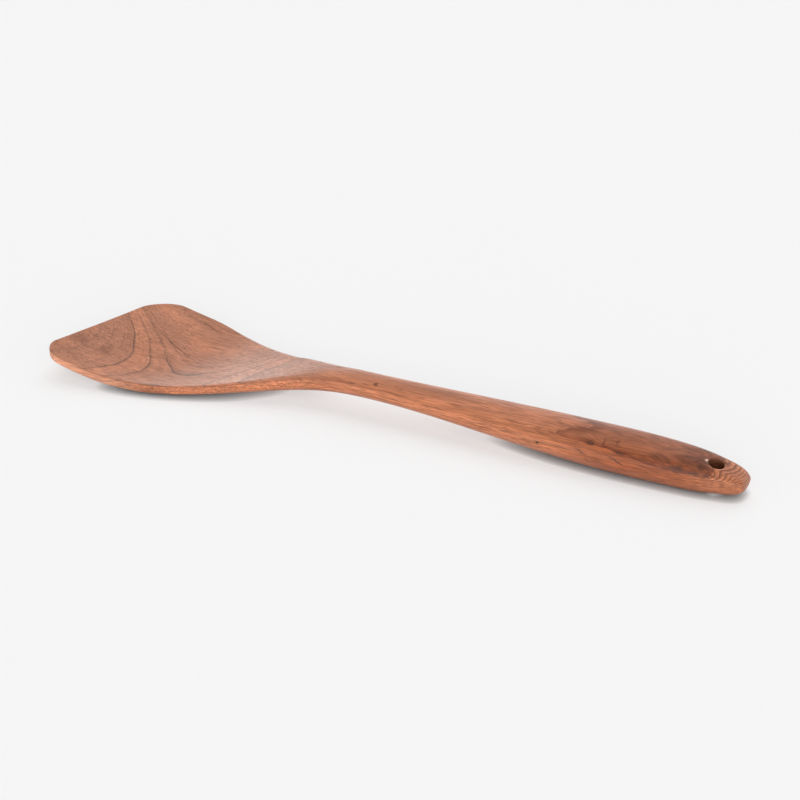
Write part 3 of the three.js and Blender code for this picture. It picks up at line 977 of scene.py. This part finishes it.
def white_card(stage):
    """White card, uncoated: a matt, even pale grey that takes soft shadows. Seen straight or in a
    reflection, a share of it is plain white, which keeps the background pale with no more light on the
    object. Close to the object its colour is darkened into a painted contact shadow."""
    material = bpy.data.materials.new("white_card_uncoated")
    tree = empty_tree(material)
    # Painted contact shadow: near the object the card's colour is darkened, and less of it is seen as white
    clear = add_node(tree, "AmbientOcclusion", {"Distance": CONTACT_REACH}, "AO", samples=CONTACT_SAMPLES)
    clear = add_node(tree, "Math", {0: clear, 1: clear}, operation="MULTIPLY")
    left = tone_at(tree, clear, ((0, CONTACT_SHADE_LEFT), (1, 1.0)))
    colour = add_node(tree, "VectorMath", {0: stage.floor_colour, "Scale": left}, operation="SCALE")
    card = add_node(tree, "BsdfDiffuse", {"Color": colour, "Roughness": 0})
    white = add_node(tree, "Emission", {"Color": (1, 1, 1, 1), "Strength": 1})
    light = add_node(tree, "LightPath").node.outputs
    seen = 0.0
    for ray in ("Is Camera Ray", "Is Glossy Ray", "Is Transmission Ray"):
        seen = add_node(tree, "Math", {0: seen, 1: light[ray]}, operation="MAXIMUM")
    share = add_node(tree, "Math", {0: seen, 1: stage.floor_glow}, operation="MULTIPLY")
    share = add_node(tree, "Math", {0: share, 1: clear}, operation="MULTIPLY")
    shader = add_node(tree, "MixShader", {0: share, 1: card, 2: white})
    add_node(tree, "OutputMaterial", {"Surface": shader})
    return material


def add_lamp(scene, name, towards, strength, angle):
    """A broad soft lamp, so far off that it lights the floor evenly. It stands outside the white walls, so
    the wood reflects them and not the lamp."""
    lamp = bpy.data.lights.new(name, "SUN")
    lamp.energy = strength
    lamp.angle = angle
    holder = bpy.data.objects.new(name, lamp)
    holder.rotation_euler = Vector(towards).to_track_quat("Z", "Y").to_euler()
    holder.visible_glossy = False
    scene.collection.objects.link(holder)


def direction(azimuth, elevation):
    """Towards a place that is turned so far round the object and stands so high above the floor."""
    flat = math.cos(elevation)
    return Vector((math.sin(azimuth) * flat, -math.cos(azimuth) * flat, math.sin(elevation)))


def white_walls(scene, stage):
    """Surroundings of a small studio: a lit screen behind the camera, a weaker one behind the object and a
    dim ceiling. The oil reflects low white walls, and the camera sees plain white."""
    world = bpy.data.worlds.new("white_walls")
    tree = empty_tree(world)
    towards = add_node(tree, "TexCoord", output="Generated")
    height = add_node(tree, "SeparateXYZ", {0: towards}, "Z")
    camera_side = direction(stage.camera_azimuth, 0)
    front = add_node(tree, "VectorMath", {0: towards, 1: camera_side}, "Value", operation="DOT_PRODUCT")
    front = add_node(
        tree, "MapRange", {"Value": front, "From Min": BACK_STOPS, "From Max": FRONT_STARTS},
        interpolation_type="SMOOTHSTEP",
    )
    screen = add_node(
        tree, "Mix", {"Factor": front, "A": stage.back_strength, "B": stage.screen_strength}, "Result"
    )
    walls, screens = [
        add_node(
            tree, "MapRange",
            {
                "Value": height,
                "From Min": math.sin(fade_start),
                "From Max": math.sin(fade_stop),
                "To Min": lit,
                "To Max": stage.ceiling_strength,
            },
            interpolation_type="SMOOTHSTEP",
        )
        for lit, (fade_start, fade_stop) in ((stage.wall_strength, WALL_EDGES), (screen, SCREEN_EDGES))
    ]
    light = add_node(tree, "LightPath").node.outputs
    strength = add_node(tree, "Mix", {"Factor": light["Is Glossy Ray"], "A": screens, "B": walls}, "Result")
    strength = add_node(tree, "Mix", {"Factor": light["Is Camera Ray"], "A": strength, "B": 1.0}, "Result")
    background = add_node(tree, "Background", {"Color": (1, 1, 1, 1), "Strength": strength})
    add_node(tree, "OutputWorld", {"Surface": background})
    scene.world = world


class SPATULA_OT_set_stage(bpy.types.Operator):
    """Set the pale floor, the soft lamps, the white walls and the camera"""

    bl_idname = "spatula.set_stage"
    bl_label = "Set Stage"

    def execute(self, context):
        scene = context.scene
        stage = scene.spatula_stage
        half = FLOOR_SIZE / 2
        mesh = bpy.data.meshes.new("floor")
        corners = [(-half, -half, 0), (half, -half, 0), (half, half, 0), (-half, half, 0)]
        mesh.from_pydata(corners, [], [(0, 1, 2, 3)])
        mesh.materials.append(white_card(stage))
        floor = bpy.data.objects.new("floor", mesh)
        scene.collection.objects.link(floor)

        back = direction(stage.camera_azimuth, stage.camera_elevation)
        add_lamp(scene, "key_lamp", KEY_DIRECTION, stage.key_strength, KEY_ANGLE)
        add_lamp(scene, "fill_lamp", back, stage.fill_strength, FILL_ANGLE)
        white_walls(scene, stage)

        camera = bpy.data.cameras.new("camera")
        camera.lens = stage.lens
        camera.clip_end = CAMERA_REACH
        eye = bpy.data.objects.new("camera", camera)
        eye.location = Vector(stage.camera_target) + back * stage.camera_distance
        eye.rotation_euler = back.to_track_quat("Z", "Y").to_euler()
        scene.collection.objects.link(eye)
        scene.camera = eye
        scene.view_settings.view_transform = "Standard"
        return {"FINISHED"}


class SPATULA_PT_panel(bpy.types.Panel):
    """Sizes, finish and stage of the spatula"""

    bl_idname = "SPATULA_PT_panel"
    bl_label = "Carved Teak Spatula"
    bl_space_type = "VIEW_3D"
    bl_region_type = "UI"
    bl_category = "Spatula"

    def draw(self, context):
        scene = context.scene
        groups = (scene.spatula_sizes, scene.spatula_finish, scene.spatula_stage)
        operators = (SPATULA_OT_carve, None, SPATULA_OT_set_stage)
        for group, operator in zip(groups, operators):
            box = self.layout.box()
            for name in group.__annotations__:
                box.prop(group, name)
            if operator:
                box.operator(operator.bl_idname)


CLASSES = (
    SpatulaSizes,
    TeakFinish,
    StageSettings,
    SPATULA_OT_carve,
    SPATULA_OT_set_stage,
    SPATULA_PT_panel,
)


def register():
    for cls in CLASSES:
        bpy.utils.register_class(cls)
    bpy.types.Scene.spatula_sizes = PointerProperty(type=SpatulaSizes)
    bpy.types.Scene.spatula_finish = PointerProperty(type=TeakFinish)
    bpy.types.Scene.spatula_stage = PointerProperty(type=StageSettings)


def unregister():
    del bpy.types.Scene.spatula_stage
    del bpy.types.Scene.spatula_finish
    del bpy.types.Scene.spatula_sizes
    for cls in reversed(CLASSES):
        bpy.utils.unregister_class(cls)


def main():
    register()
    bpy.ops.spatula.carve()
    bpy.ops.spatula.set_stage()


if __name__ == "__main__":
    main()
